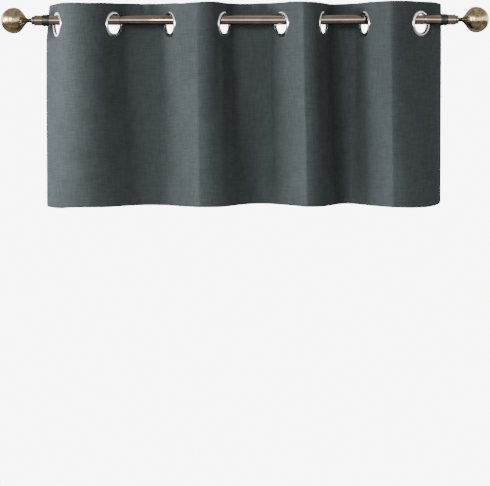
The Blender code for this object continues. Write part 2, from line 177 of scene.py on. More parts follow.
def bezier(start, start_turn, start_reach, end, end_turn, end_reach):
    """Points of a smooth curve in plan, without its first. A reach is a share of the span."""
    start = np.asarray(start, float)
    end = np.asarray(end, float)
    span = np.linalg.norm(end - start)
    near = start + direction(start_turn) * span * start_reach
    far = end - direction(end_turn) * span * end_reach
    return cubic((start, near, far, end), CURVE_STEPS)


def lengths_along(points):
    """The running length at each point of a plan curve."""
    steps = np.linalg.norm(np.diff(points, axis=0), axis=1)
    return np.concatenate(([0.0], np.cumsum(steps)))


def fold_curve(index, depth):
    """The header's curve from one eyelet to the next, for a fold that reaches y = depth."""
    x_left, turn_left = EYELETS[index]
    x_right, turn_right = EYELETS[index + 1]
    x, _, turn, from_left, before, after, to_right = HEADER_FOLDS[index]
    left = np.array((x_left, 0.0))
    right = np.array((x_right, 0.0))
    leave = left + direction(turn_left) * FLAT_HALF
    arrive = right - direction(turn_right) * FLAT_HALF
    top = (x, depth)
    first = bezier(leave, turn_left, from_left, top, turn, before)
    second = bezier(top, turn, after, arrive, turn_right, to_right)
    return np.vstack((left, leave, first, second, right)), len(first) + 1


def solve_fold(index):
    """The fold that takes its length of cloth, found by halving the range of its depth."""
    side = 1.0 if EYELETS[index][1] > 0 else -1.0
    shallow, deep = SHALLOWEST_FOLD, DEEPEST_FOLD
    for _ in range(HALVINGS):
        middle = (shallow + deep) / 2
        points, _ = fold_curve(index, side * middle)
        if lengths_along(points)[-1] < FOLD_CLOTH[index]:
            shallow = middle
        else:
            deep = middle
    return fold_curve(index, side * deep)


def margin_curve(index, edge_turn, outward):
    """From an end eyelet's centre to the cloth's side edge; outward is -1 at the left, 1 at right."""
    x, turn = EYELETS[index]
    centre = np.array((x, 0.0))
    rest = SIDE_MARGIN - FLAT_HALF
    points = [centre, centre + outward * direction(turn) * FLAT_HALF]
    for step in range(EDGE_CELLS):
        now = turn + (edge_turn - turn) * (step + 1) / EDGE_CELLS
        points.append(points[-1] + outward * direction(now) * rest / EDGE_CELLS)
    return np.array(points)


# %% The two sections
def header_section():
    """The plan curve at the eyelets: points, their places along the cloth, and each fold's place."""
    left = margin_curve(0, LEFT_EDGE_TURN, -1.0)[::-1]
    points = [left]
    places = [SIDE_MARGIN - lengths_along(left[::-1])[::-1]]
    stations = [0.0]
    for index in range(len(EYELETS) - 1):
        curve, top = solve_fold(index)
        along = EYELET_PLACES[index] + lengths_along(curve)
        points.append(curve[1:])
        places.append(along[1:])
        stations.append(along[top])
    right = margin_curve(len(EYELETS) - 1, RIGHT_EDGE_TURN, 1.0)
    points.append(right[1:])
    places.append(CLOTH_WIDTH - SIDE_MARGIN + lengths_along(right)[1:])
    stations.append(CLOTH_WIDTH)
    return np.vstack(points), np.concatenate(places), stations


def hem_section(stations):
    """The plan curve at the hem, with the same places along the cloth at its edges and folds."""
    points = [np.array(HEM_FOLDS[0][:2])[None, :]]
    places = [np.array((0.0,))]
    for index in range(len(HEM_FOLDS) - 1):
        x0, y0, turn0, _, after = HEM_FOLDS[index]
        x1, y1, turn1, before, _ = HEM_FOLDS[index + 1]
        curve = bezier((x0, y0), turn0, after, (x1, y1), turn1, before)
        run = lengths_along(np.vstack((points[-1][-1], curve)))[1:]
        points.append(curve)
        places.append(stations[index] + (stations[index + 1] - stations[index]) * run / run[-1])
    return np.vstack(points), np.concatenate(places)


def seat_drop(turn):
    """How far an eyelet's centre hangs below the rod's axis when its bore rests on the rod."""
    ring = BORE_RADIUS + LIP_RADIUS
    reach = ROD_RADIUS + LIP_RADIUS + SEAT_GAP
    half_width = ring * abs(math.sin(math.radians(turn)))
    if half_width**2 / ring >= reach:
        return ring - reach
    return math.sqrt((ring**2 - half_width**2) * (1.0 - reach**2 / half_width**2))


HEADER_POINTS, HEADER_PLACES, STATIONS = header_section()
HEM_POINTS, HEM_PLACES = hem_section(STATIONS)
EYELET_DROPS = [seat_drop(turn) for _, turn in EYELETS]
fold_y = HEADER_POINTS[:, 1]
print("folds reach y in mm:", round(1000 * fold_y.min()), round(1000 * fold_y.max()))

# %% [markdown]
# ## Creases and small wrinkles
#
# The big folds come from the two sections, and they would look like bent sheet metal on their own.
# Real cloth also keeps a few small marks: a crease that runs down from the rod in a trough, a pucker
# in the stiff header, a nick in the hem. Each is a short soft ridge or groove along a line, and the
# whole sheet also ripples by a fraction of a millimetre. They push the cloth along its own normal,
# so its flat size doesn't change. The header's edge and the hem also rise and sag by up to 3.4 mm,
# which changes the cloth's height by little more than one percent anywhere. Round the eyelets, where
# the rings hold the cloth flat, all of this fades out.

# %% Small relief on the hung cloth
WRINKLES = (
    # from x, z, to x, z as seen from the front, half width, height towards the room
    (0.004, -0.017, 0.018, -0.07, 0.005, 0.0022),
    (0.216, -0.015, 0.224, -0.07, 0.0045, 0.002),
    (-0.231, 0.042, -0.224, 0.013, 0.006, -0.005),
    (-0.215, 0.042, -0.218, 0.02, 0.006, 0.0035),
    (0.015, 0.04, -0.005, 0.005, 0.01, -0.0022),
    (0.03, 0.038, 0.036, 0.006, 0.008, 0.0016),
    (-0.235, -0.398, -0.236, -0.417, 0.0035, -0.0016),
    (0.224, -0.398, 0.225, -0.417, 0.0035, -0.0016),
    (-0.015, -0.06, -0.026, -0.15, 0.012, 0.0014),
    (-0.054, -0.06, -0.054, -0.39, 0.015, 0.0034),
    (-0.248, -0.05, -0.256, -0.17, 0.014, 0.0012),
    (0.208, -0.06, 0.204, -0.15, 0.01, 0.0012),
    (0.42, -0.07, 0.35, -0.21, 0.018, 0.001),
    (0.36, -0.23, 0.42, -0.36, 0.02, -0.001),
)
EDGE_LEVELS = (
    # x as seen, header edge up in mm, hem edge down in mm
    (-0.438, -1.0, 3.4),
    (-0.415, -0.5, 3.0),
    (-0.395, -1.4, 0.7),
    (-0.355, -2.6, 0.0),
    (-0.310, -0.4, 1.2),
    (-0.270, 2.0, 1.6),
    (-0.190, 1.8, 2.5),
    (-0.145, -2.8, 2.2),
    (-0.100, -1.0, 0.2),
    (-0.060, 1.4, 0.8),
    (-0.010, 1.0, 0.4),
    (0.045, 2.7, 0.6),
    (0.100, 1.3, 0.0),
    (0.145, -1.4, 0.0),
    (0.205, 0.0, 0.8),
    (0.245, 2.2, 1.1),
    (0.290, -0.5, 1.4),
    (0.335, 0.3, 1.0),
    (0.375, 1.6, 2.7),
    (0.408, 2.4, 3.3),
    (0.428, 1.9, 1.2),
    (0.438, 0.0, -1.8),
)
WRINKLE_FADE = 0.6
RIPPLES = 14
RIPPLE_HEIGHT = 0.00010
RIPPLE_SEED = 7
CLEAR_WIDTH = 0.030
NORMAL_STEP = 0.0015


def eased(share):
    """A share kept between 0 and 1, with a soft start and end."""
    share = np.clip(share, 0.0, 1.0)
    return share * share * (3.0 - 2.0 * share)


def hem_share(v):
    """0 around the eyelets, where the cloth stays flat, growing to 1 at the hem."""
    depth = np.clip((v + FLAT_HALF) / (BOTTOM + FLAT_HALF), 0.0, 1.0)
    return depth * EVEN_SHARE + eased(depth) * (1.0 - EVEN_SHARE)


def corner_lean(s, v):
    """How far the free top left corner leans to the right."""
    free = SIDE_MARGIN - FLAT_HALF
    out = np.clip((free - s) / free, 0.0, None)
    up = np.clip((v + FLAT_HALF) / (HEADER_TOP + FLAT_HALF), 0.0, 1.0)
    return LEFT_CORNER_LEAN * out**1.5 * up


def plan_points(s, v):
    """Where flat points lie in plan once the cloth hangs."""
    header = [np.interp(s, HEADER_PLACES, HEADER_POINTS[:, axis]) for axis in (0, 1)]
    hem = [np.interp(s, HEM_PLACES, HEM_POINTS[:, axis]) for axis in (0, 1)]
    share = hem_share(v)
    x = header[0] * (1.0 - share) + hem[0] * share + corner_lean(s, v)
    y = header[1] * (1.0 - share) + hem[1] * share
    return x, y


def seen_x(s, v):
    """The x at which flat points are seen from the front, measured in the rod's plane."""
    x, away = plan_points(s, v)
    return x * CAMERA_DISTANCE / (CAMERA_DISTANCE + away)


def flat_place(x, z):
    """The flat point that is seen at x, z from the front."""
    v = z + EYELET_DROPS[0]
    s = np.linspace(0.0, CLOTH_WIDTH, 2000)
    return s[np.argmin(abs(seen_x(s, np.full_like(s, v)) - x))], v


def clear_of_eyelets(s, v):
    """0 round each eyelet, where the rings hold the cloth flat, and 1 a little further out."""
    near = [np.hypot(s - place, v) for place in EYELET_PLACES]
    return eased((np.min(near, axis=0) - FLAT_HALF) / CLEAR_WIDTH)


def edge_level(s, v):
    """How far the cloth is pulled up or down near its header edge and its hem."""
    places, rises, drops = np.transpose(EDGE_LEVELS)
    seen = seen_x(s, v)
    up = np.clip(v / HEADER_TOP, 0.0, 1.0) * np.interp(seen, places, rises)
    down = np.clip(v / BOTTOM, 0.0, 1.0) ** 2 * np.interp(seen, places, drops)
    return (up - down) / 1000 * clear_of_eyelets(s, v)


def wrinkle_lift(s, v):
    """How far the named wrinkles and the fine ripples push the cloth towards the room."""
    lift = np.zeros_like(s)
    for x0, z0, x1, z1, width, height in WRINKLES:
        s0, v0 = flat_place(x0, z0)
        s1, v1 = flat_place(x1, z1)
        run = np.array((s1 - s0, v1 - v0))
        length = np.hypot(*run)
        along = np.clip(((s - s0) * run[0] + (v - v0) * run[1]) / length**2, 0.0, 1.0)
        off = np.hypot(s - s0 - along * run[0], v - v0 - along * run[1])
        fade = 1.0 - WRINKLE_FADE * along
        lift += height * fade * np.exp(-((off / width) ** 2))
    pick = np.random.default_rng(RIPPLE_SEED)
    for _ in range(RIPPLES):
        across = pick.uniform(4.0, 16.0)
        down = pick.uniform(-4.0, 4.0)
        phase = pick.uniform(0.0, 1.0)
        lift += RIPPLE_HEIGHT * np.sin(2 * math.pi * (across * s + down * v + phase))
    return lift * clear_of_eyelets(s, v)


def hang(s, v, lift):
    """Flat points hung in place, lift metres in front of the cloth's middle layer."""
    x0, y0 = plan_points(np.clip(s - NORMAL_STEP, 0.0, None), v)
    x1, y1 = plan_points(np.clip(s + NORMAL_STEP, None, CLOTH_WIDTH), v)
    length = np.hypot(x1 - x0, y1 - y0)
    x, y = plan_points(s, v)
    x = x + lift * (y1 - y0) / length
    y = y - lift * (x1 - x0) / length
    z = v - np.interp(s, EYELET_PLACES, EYELET_DROPS) + edge_level(s, v)
    return np.stack((x, y, z), axis=1)


print("wrinkles:", len(WRINKLES))

# %% [markdown]
# ## The sheet of cloth
#
# The sheet is a grid of columns and rows with a round hole for each eyelet. It has a front and a back
# layer and a rounded rim, because a curtain is looked at from behind too. The hems are the same cloth
# turned to the back, so they show there as a raised band. The UV map is the flat sheet itself in
# metres, so that the weave runs with the threads into each fold instead of being cut by it.

# %% Lay out the flat grid
PATCH_CELLS = 8
HOLE_SIDES = 4 * PATCH_CELLS
HOLE_RADIUS = 0.0224
FOLD_COLUMNS = 38
MARGIN_COLUMNS = 8
SIDE_HEM = 0.012
BOTTOM_HEM = 0.040
HEM_LAYER = 0.0006
HEM_STEP = 0.0010
HEADER_ROWS = 4
DROP_ROWS = 58
HEM_ROWS = 7


def spaced(start, end, cells):
    """Even steps from start to end, without the start."""
    return [start + (end - start) * (step + 1) / cells for step in range(cells)]


def fold_columns(index):
    """Columns from one eyelet's flat patch to the next, with one of them on the fold's own line."""
    start = EYELET_PLACES[index] + FLAT_HALF
    station = STATIONS[index + 1]
    end = EYELET_PLACES[index + 1] - FLAT_HALF
    before = round(FOLD_COLUMNS * (station - start) / (end - start))
    return spaced(start, station, before) + spaced(station, end, FOLD_COLUMNS - before)


def column_places():
    """The grid's columns along the width, and the first column of each eyelet's flat patch."""
    rim = [CORNER_RADIUS * share for share in (0.0, 0.1, 0.3, 0.6, 1.0)]
    rim += [SIDE_HEM - HEM_STEP, SIDE_HEM + HEM_STEP]
    columns = list(rim)
    patches = []
    columns += spaced(columns[-1], SIDE_MARGIN - FLAT_HALF, MARGIN_COLUMNS)
    for index, centre in enumerate(EYELET_PLACES):
        patches.append(len(columns) - 1)
        columns += spaced(centre - FLAT_HALF, centre + FLAT_HALF, PATCH_CELLS)
        if index < len(EYELETS) - 1:
            columns += fold_columns(index)
    columns += spaced(columns[-1], CLOTH_WIDTH - rim[-1], MARGIN_COLUMNS)
    columns += [CLOTH_WIDTH - place for place in reversed(rim[:-1])]
    return columns, patches


def row_heights():
    """The grid's rows from the top edge down, and the first row of the eyelets' patches."""
    rows = [HEADER_TOP] + spaced(HEADER_TOP, FLAT_HALF, HEADER_ROWS)
    patch = len(rows) - 1
    rows += spaced(FLAT_HALF, -FLAT_HALF, PATCH_CELLS)
    rows += spaced(-FLAT_HALF, BOTTOM + BOTTOM_HEM + HEM_STEP, DROP_ROWS)
    rows += [BOTTOM + BOTTOM_HEM - HEM_STEP]
    rows += spaced(rows[-1], BOTTOM, HEM_ROWS)
    return rows, patch


def edge_rounding(s):
    """How much the top and bottom edges draw in near the sheet's rounded corners."""
    near = min(s, CLOTH_WIDTH - s)
    if near >= CORNER_RADIUS:
        return 0.0
    return CORNER_RADIUS - math.sqrt(CORNER_RADIUS**2 - (CORNER_RADIUS - near) ** 2)


def add_eyelet_patch(points, faces, centre, first, top_row, width):
    """Joins the square gap round one eyelet to its round hole."""
    last = PATCH_CELLS
    around = [(0, last - step) for step in range(last)] + [(step, 0) for step in range(last)]
    around += [(last, step) for step in range(last)] + [(last - step, last) for step in range(last)]
    square = [(top_row + row) * width + first + column for row, column in around]
    hole = len(points)
    for side, corner in enumerate(square):
        after = (side + 1) % HOLE_SIDES
        angle = math.pi / 4 + 2 * math.pi * side / HOLE_SIDES
        points.append((centre + HOLE_RADIUS * math.cos(angle), HOLE_RADIUS * math.sin(angle)))
        faces.append((corner, square[after], hole + after, hole + side))


def flat_sheet():
    """The flat sheet as points (s, v) and faces, with a round hole at each eyelet."""
    columns, patches = column_places()
    rows, top_row = row_heights()
    width = len(columns)
    points = []
    for row, v in enumerate(rows):
        for s in columns:
            pull = edge_rounding(s)
            shift = -pull * HEADER_CORNER_SHARE if row == 0 else pull if row == len(rows) - 1 else 0.0
            points.append((s, v + shift))
    holes = {first + step for first in patches for step in range(PATCH_CELLS)}
    hole_rows = set(range(top_row, top_row + PATCH_CELLS))
    faces = []
    for row in range(len(rows) - 1):
        for column in range(width - 1):
            if row in hole_rows and column in holes:
                continue
            corner = row * width + column
            faces.append((corner, corner + width, corner + width + 1, corner + 1))
    for centre, first in zip(EYELET_PLACES, patches):
        add_eyelet_patch(points, faces, centre, first, top_row, width)
    return np.array(points), faces


flat_points, flat_faces = flat_sheet()
print("flat grid:", len(flat_points), "points,", len(flat_faces), "faces")

# %% Hang it as a closed sheet
RIM_BULGE = 0.0004


def boundary_edges(faces):
    """The edges that only one face uses, in that face's direction."""
    edges = dict.fromkeys(edge for face in faces for edge in zip(face, face[1:] + face[:1]))
    return [edge for edge in edges if edge[::-1] not in edges]


def hem_layer(s, v):
    """The extra thickness where the hems are turned to the back, from 0 to 1."""
    in_side = np.minimum(s, CLOTH_WIDTH - s) < SIDE_HEM
    in_bottom = v < BOTTOM + BOTTOM_HEM
    return (in_side | in_bottom).astype(float)


def cloth_mesh():
    """The closed sheet: front layer, back layer, and a rim with a rounded middle."""
    s, v = flat_points[:, 0], flat_points[:, 1]
    lift = wrinkle_lift(s, v)
    turned = hem_layer(s, v)
    half = THICKNESS / 2
    front = hang(s, v, lift + half)
    back = hang(s, v, lift - half - HEM_LAYER * turned)
    middle = hang(s, v, lift)
    count = len(flat_points)
    solid = list(flat_faces)
    solid += [tuple(count + corner for corner in reversed(face)) for face in flat_faces]
    edges = boundary_edges(flat_faces)
    rim = sorted({corner for edge in edges for corner in edge})
    place = {corner: 2 * count + index for index, corner in enumerate(rim)}
    outward = np.zeros((count, 3))
    for start, end in edges:
        run = front[end] - front[start]
        across = np.cross(run, front[start] - back[start])
        across /= np.linalg.norm(across)
        outward[start] += across
        outward[end] += across
    outward /= np.maximum(np.linalg.norm(outward, axis=1), 1e-9)[:, None]
    bulge = middle[rim] + outward[rim] * RIM_BULGE
    for start, end in edges:
        solid.append((end, start, place[start], place[end]))
        solid.append((place[end], place[start], count + start, count + end))
    mesh = bpy.data.meshes.new("valance_fabric")
    mesh.from_pydata(np.vstack((front, back, bulge)).tolist(), [], solid)
    flat = np.vstack((flat_points, flat_points, flat_points[rim]))
    layer = mesh.uv_layers.new(name="flat")
    corners = np.array([loop.vertex_index for loop in mesh.loops])
    layer.data.foreach_set("uv", flat[corners].ravel())
    mesh.shade_smooth()
    return mesh


fabric = add_object("valance_fabric", cloth_mesh())
print("cloth triangles:", sum(len(face.vertices) - 2 for face in fabric.data.polygons))

# %% [markdown]
# ## Building node trees
#
# Shaders and Geometry Nodes are both trees of nodes, so one small helper serves both. It adds a node,
# sets its properties, and links or sets its inputs. The nodes that come back often, such as a noise or
# a colour ramp, get a short function of their own. An effect that several finishes share becomes a
# node group with named sockets, and a finish places that group with its own values.


# %% Helpers for trees
def connect(tree, node, inputs):
    """Fills a node's inputs. Each is a value, or another node's socket to link from."""
    for name, value in inputs.items():
        if isinstance(value, bpy.types.NodeSocket):
            tree.links.new(value, node.inputs[name])
        else:
            node.inputs[name].default_value = value


def add_node(tree, kind, inputs=None, **settings):
    """Adds a node with its properties and its inputs."""
    node = tree.nodes.new(kind)
    for name, value in settings.items():
        setattr(node, name, value)
    connect(tree, node, inputs or {})
    return node


def new_group(name, tree_kind, inputs, outputs):
    """An empty node group, as (tree, its input node, its output node).

    Each socket has a name, and either its kind or the number that a Float socket starts with."""
    tree = bpy.data.node_groups.new(name, tree_kind)
    for in_out, sockets in (("INPUT", inputs), ("OUTPUT", outputs)):
        for label, value in sockets.items():
            kind = value if isinstance(value, str) else "Float"
            socket = tree.interface.new_socket(label, in_out=in_out, socket_type="NodeSocket" + kind)
            if kind != value:
                socket.default_value = value
    return tree, tree.nodes.new("NodeGroupInput"), tree.nodes.new("NodeGroupOutput")


def new_material(name):
    """A material with one Principled BSDF, as (material, its tree, the shader)."""
    made = bpy.data.materials.new(name)
    made.use_nodes = True
    return made, made.node_tree, made.node_tree.nodes["Principled BSDF"]


def maths(tree, operation, *values):
    """A Math node's result. A value is a number or a socket."""
    return add_node(tree, "ShaderNodeMath", dict(enumerate(values)), operation=operation).outputs[0]


def noise(tree, vector, scale, detail=2.0, roughness=0.5):
    """A Noise Texture's factor."""
    inputs = {"Vector": vector, "Scale": scale, "Detail": detail, "Roughness": roughness}
    return add_node(tree, "ShaderNodeTexNoise", inputs).outputs["Fac"]


def remap(tree, value, start, end, low=0.0, high=1.0):
    """A Map Range node's result: low at the value start, high at the value end."""
    inputs = {"Value": value, "From Min": start, "From Max": end, "To Min": low, "To Max": high}
    return add_node(tree, "ShaderNodeMapRange", inputs).outputs["Result"]


def ramp(tree, factor, dark, bright, start=0.0, end=1.0):
    """A colour that runs from dark to bright while the factor runs from start to end."""
    made = add_node(tree, "ShaderNodeValToRGB", {"Fac": factor})
    for index, (place, colour) in enumerate(((start, dark), (end, bright))):
        made.color_ramp.elements[index].position = place
        made.color_ramp.elements[index].color = (*colour, 1.0)
    return made.outputs["Color"]


def bump(tree, height, strength, distance):
    """A normal that is tilted by a height."""
    inputs = {"Height": height, "Strength": strength, "Distance": distance}
    return add_node(tree, "ShaderNodeBump", inputs).outputs["Normal"]


def real_copies(tree, points, shape, rotation):
    """Copies of a shape on points, each turned, as real geometry."""
    inputs = {"Points": points, "Instance": shape, "Rotation": rotation}
    placed = add_node(tree, "GeometryNodeInstanceOnPoints", inputs)
    real = add_node(tree, "GeometryNodeRealizeInstances", {"Geometry": placed.outputs["Instances"]})
    return real.outputs["Geometry"]


# %% [markdown]
# ## The woven finish
#
# The cloth is a dense polyester with a linen look: a plain weave about half a millimetre fine, and
# thicker slub yarns that run a few centimetres and stop, both along and across. From a step away the
# weave itself is gone and only the slubs show, as a faint cross-hatch. So the weave group makes both:
# crossing threads for a close look, and two stretched noises for the slubs. Dyed polyester is a little
# brighter where it is seen nearly edge-on, which is the sheen on the shader.

# %% The weave group
weave, weave_in, weave_out = new_group(
    "woven_threads",
    "ShaderNodeTree",
    {"Flat": "Vector", "Thread": 0.0005, "Slub Length": 0.024, "Slub Width": 0.0015},
    {"Height": "Float", "Slubs": "Float"},
)


def crossing_threads(tree, source):
    """Height of a plain weave: at each crossing one thread lies over the other."""
    parts = add_node(tree, "ShaderNodeSeparateXYZ", {0: source.outputs["Flat"]})
    waves = []
    for axis in (0, 1):
        count = maths(tree, "DIVIDE", parts.outputs[axis], source.outputs["Thread"])
        waves.append(maths(tree, "SINE", maths(tree, "MULTIPLY", count, math.pi)))
    over = maths(tree, "GREATER_THAN", maths(tree, "MULTIPLY", waves[0], waves[1]), 0.0)
    warp = maths(tree, "ABSOLUTE", waves[0])
    weft = maths(tree, "ABSOLUTE", waves[1])
    return add_node(tree, "ShaderNodeMix", {0: over, 2: warp, 3: weft}).outputs[0]


def slub_noise(tree, source, long_axis):
    """Noise stretched along one thread direction: the slub yarns of that direction."""
    parts = add_node(tree, "ShaderNodeSeparateXYZ", {0: source.outputs["Flat"]})
    scaled = []
    for axis in (0, 1):
        size = source.outputs["Slub Length" if axis == long_axis else "Slub Width"]
        scaled.append(maths(tree, "DIVIDE", parts.outputs[axis], size))
    place = add_node(tree, "ShaderNodeCombineXYZ", {0: scaled[0], 1: scaled[1], 2: 3.7 + 5.0 * long_axis})
    return noise(tree, place.outputs[0], 1.0, 3.0)


slubs = maths(weave, "ADD", slub_noise(weave, weave_in, 0), slub_noise(weave, weave_in, 1))
slubs = maths(weave, "SUBTRACT", slubs, 1.0)
height = maths(weave, "MULTIPLY_ADD", crossing_threads(weave, weave_in), 0.35, slubs)
connect(weave, weave_out, {"Height": height, "Slubs": slubs})
print("weave group nodes:", len(weave.nodes))

# %% The slate cloth
SLATE_DARK = (0.0402, 0.0484, 0.0489)
SLATE_LIGHT = (0.0742, 0.0862, 0.0895)
slate, tree, shader = new_material("slate_fabric")
flat_map = add_node(tree, "ShaderNodeUVMap", uv_map="flat").outputs["UV"]
threads = add_node(tree, "ShaderNodeGroup", {"Flat": flat_map}, node_tree=weave)
height = threads.outputs["Height"]
patches = maths(tree, "MULTIPLY_ADD", noise(tree, flat_map, 16.0, 4.0), 0.4, 0.3)
tone = maths(tree, "MULTIPLY_ADD", threads.outputs["Slubs"], 0.7, patches)
look = {
    "Base Color": ramp(tree, tone, SLATE_DARK, SLATE_LIGHT, 0.15, 0.85),
    "Roughness": remap(tree, height, 0.0, 1.0, 0.95, 0.75),
    "Normal": bump(tree, height, 0.45, 0.0004),
    "Specular IOR Level": 0.06,
    "Sheen Weight": 0.05,
    "Sheen Roughness": 0.45,
    "Sheen Tint": (0.75, 0.86, 1.0, 1.0),
}
connect(tree, shader, look)
fabric.data.materials.append(slate)
print("slate cloth nodes:", len(tree.nodes))

# %% [markdown]
# ## Hem stitches
#
# The hems are held by a row of short stitches in thread of the same colour. A stitch repeats hundreds
# of times along a line, and that is what Geometry Nodes are for: the line is resampled at the stitch
# pitch, a short piece of thread is put on each point and turned along the line, and the result is made
# real. The lines themselves are flat lines on the cloth, hung in the same way as the cloth.

# %% The stitch tree
stitch_tree, tree_in, tree_out = new_group(
    "stitch_row",
    "GeometryNodeTree",
    {"Line": "Geometry", "Pitch": "Float", "Length": "Float", "Thread": "Float", "Finish": "Material"},
    {"Stitches": "Geometry"},
)
curve = add_node(stitch_tree, "GeometryNodeMeshToCurve", {"Mesh": tree_in.outputs["Line"]})
even = add_node(
    stitch_tree,
    "GeometryNodeResampleCurve",
    {"Curve": curve.outputs["Curve"], "Length": tree_in.outputs["Pitch"]},
    mode="LENGTH",
)
stitch = add_node(
    stitch_tree,
    "GeometryNodeMeshCylinder",
    {"Vertices": 6, "Radius": tree_in.outputs["Thread"], "Depth": tree_in.outputs["Length"]},
)
tangent = add_node(stitch_tree, "GeometryNodeInputTangent").outputs["Tangent"]
turn = add_node(stitch_tree, "FunctionNodeAlignRotationToVector", {"Vector": tangent}, axis="Z")
row = real_copies(stitch_tree, even.outputs["Curve"], stitch.outputs["Mesh"], turn.outputs["Rotation"])
painted = add_node(
    stitch_tree, "GeometryNodeSetMaterial", {"Geometry": row, "Material": tree_in.outputs["Finish"]}
)
connect(stitch_tree, tree_out, {"Stitches": painted.outputs["Geometry"]})
print("stitch tree nodes:", len(stitch_tree.nodes))


# %% Sew the hems
STITCH_PITCH = 0.0042
STITCH_LENGTH = 0.0028
STITCH_THREAD = 0.00020
STITCH_INSET = 0.0022
STITCH_START = 0.004


def run_tree(piece, tree, values):
    """Runs a Geometry Nodes tree on a piece, and keeps the result as a plain mesh.

    The values go to the tree's named sockets, which a modifier knows by their identifiers."""
    modifier = piece.modifiers.new(tree.name, "NODES")
    modifier.node_group = tree
    for item in tree.interface.items_tree:
        if item.item_type == "SOCKET" and item.in_out == "INPUT" and item.name in values:
            modifier[item.identifier] = values[item.name]
    evaluated = piece.evaluated_get(bpy.context.evaluated_depsgraph_get())
    made = bpy.data.meshes.new_from_object(evaluated)
    piece.modifiers.clear()
    piece.data = made
    made.name = piece.name
    return piece


def sew(name, s, v, front):
    """One row of stitches along a line of the hung cloth, on its front or its back."""
    half = THICKNESS / 2
    points = hang(s, v, wrinkle_lift(s, v) + (half if front else -half - HEM_LAYER))
    line = bpy.data.meshes.new(name)
    line.from_pydata(points.tolist(), [(index, index + 1) for index in range(len(points) - 1)], [])
    return run_tree(add_object(name, line), stitch_tree, stitch_sizes)


thread_finish, tree, shader = new_material("slate_thread")
twist = noise(tree, add_node(tree, "ShaderNodeTexCoord").outputs["Object"], 900.0)
shade = ramp(tree, twist, (0.036, 0.044, 0.045), (0.060, 0.072, 0.075))
connect(tree, shader, {"Base Color": shade, "Roughness": 0.6, "Specular IOR Level": 0.4})
stitch_sizes = {
    "Pitch": STITCH_PITCH,
    "Length": STITCH_LENGTH,
    "Thread": STITCH_THREAD,
    "Finish": thread_finish,
}

across = np.linspace(SIDE_HEM, CLOTH_WIDTH - SIDE_HEM, 900)
down = np.linspace(HEADER_TOP - STITCH_START, BOTTOM + BOTTOM_HEM, 300)
hem_height = np.full_like(across, BOTTOM + BOTTOM_HEM - STITCH_INSET)
left_side = np.full_like(down, SIDE_HEM - STITCH_INSET)
right_side = np.full_like(down, CLOTH_WIDTH - SIDE_HEM + STITCH_INSET)
stitches = []
for side in ("front", "back"):
    for line, s, v in (("hem", across, hem_height), ("left", left_side, down), ("right", right_side, down)):
        stitches.append(sew(f"{line}_stitches_{side}", s, v, side == "front"))
print("stitch rows:", len(stitches), "faces:", sum(len(row.data.polygons) for row in stitches))

# %% [markdown]
# ## Turned metal
#
# Eyelets, rod, bands and finials are all round, so each is a profile of (radius, height) points that
# is spun about an axis. A profile keeps every edge that catches light: a domed ring, a small chamfer,
# a groove. The spin uses enough sides that a highlight runs over it without steps.


# %% Spin a profile
SHARP_TURN = math.radians(40.0)


def spun(name, profile, sides):
    """A closed profile of (radius, height) points spun about Z. A radius of 0 makes a pole."""
    body = bmesh.new()
    loops = []
    angles = [2 * math.pi * side / sides for side in range(sides)]
    for radius, height in profile:
        if radius == 0.0:
            loops.append([body.verts.new((0.0, 0.0, height))] * sides)
            continue
        loops.append([body.verts.new((radius * math.cos(a), radius * math.sin(a), height)) for a in angles])
    pairs = list(zip(loops, loops[1:]))
    if all(radius > 0.0 for radius, _ in profile):
        pairs.append((loops[-1], loops[0]))
    for lower, upper in pairs:
        for side in range(sides):
            after = (side + 1) % sides
            corners = [lower[side], lower[after], upper[after], upper[side]]
            body.faces.new(list(dict.fromkeys(corners)))
    bmesh.ops.recalc_face_normals(body, faces=body.faces)
    mesh = bpy.data.meshes.new(name)
    body.to_mesh(mesh)
    body.free()
    mesh.shade_smooth()
    mesh.set_sharp_from_angle(angle=SHARP_TURN)
    return mesh


def arc(centre_radius, centre_height, radius, start, end, steps):
    """Points of an arc in a profile, with angles in degrees from the outward direction."""
    angles = np.radians(np.linspace(start, end, steps + 1))
    return [(centre_radius + radius * math.cos(a), centre_height + radius * math.sin(a)) for a in angles]


def add_piece(name, mesh, finish):
    """Puts a mesh into the scene with its finish."""
    mesh.materials.append(finish)
    return add_object(name, mesh)


def second_finish(mesh, finish, chosen):
    """Gives another finish to the faces that a test on their centre chooses."""
    mesh.materials.append(finish)
    for face in mesh.polygons:
        face.material_index = 1 if chosen(face.center) else 0


# %% [markdown]
# ## Metal finishes
#
# Three metals are seen: nickel on the eyelets, bright on their faces and painted dark in their barrels
# as painted shade, aged brass on the rod and finials, and dark steel on the two bands. All of them are
# handled and rubbed, so they share a wear group: cloudy tarnish, fine scratches that run one way, and a
# little grain for the bump. Each metal then takes its own colours from that one mask. On the balls the
# brass is painted black in the groove of the neck as painted shade, and painted brighter towards the
# outer end as a painted highlight.

# %% The wear group
wear, wear_in, wear_out = new_group(
    "rubbed_metal",
    "ShaderNodeTree",
    {"Vector": "Vector", "Cloud Scale": "Float", "Scratch Scale": 900.0, "Stretch": "Vector"},
    {"Tarnish": "Float", "Scratches": "Float", "Grain": "Float"},
)
vector = wear_in.outputs["Vector"]
stretched = add_node(
    wear, "ShaderNodeVectorMath", {0: vector, 1: wear_in.outputs["Stretch"]}, operation="MULTIPLY"
)
effects = {
    "Tarnish": noise(wear, vector, wear_in.outputs["Cloud Scale"], 6.0, 0.65),
    "Scratches": noise(wear, stretched.outputs[0], wear_in.outputs["Scratch Scale"]),
    "Grain": noise(wear, vector, 1400.0),
}
connect(wear, wear_out, effects)
print("wear group nodes:", len(wear.nodes))


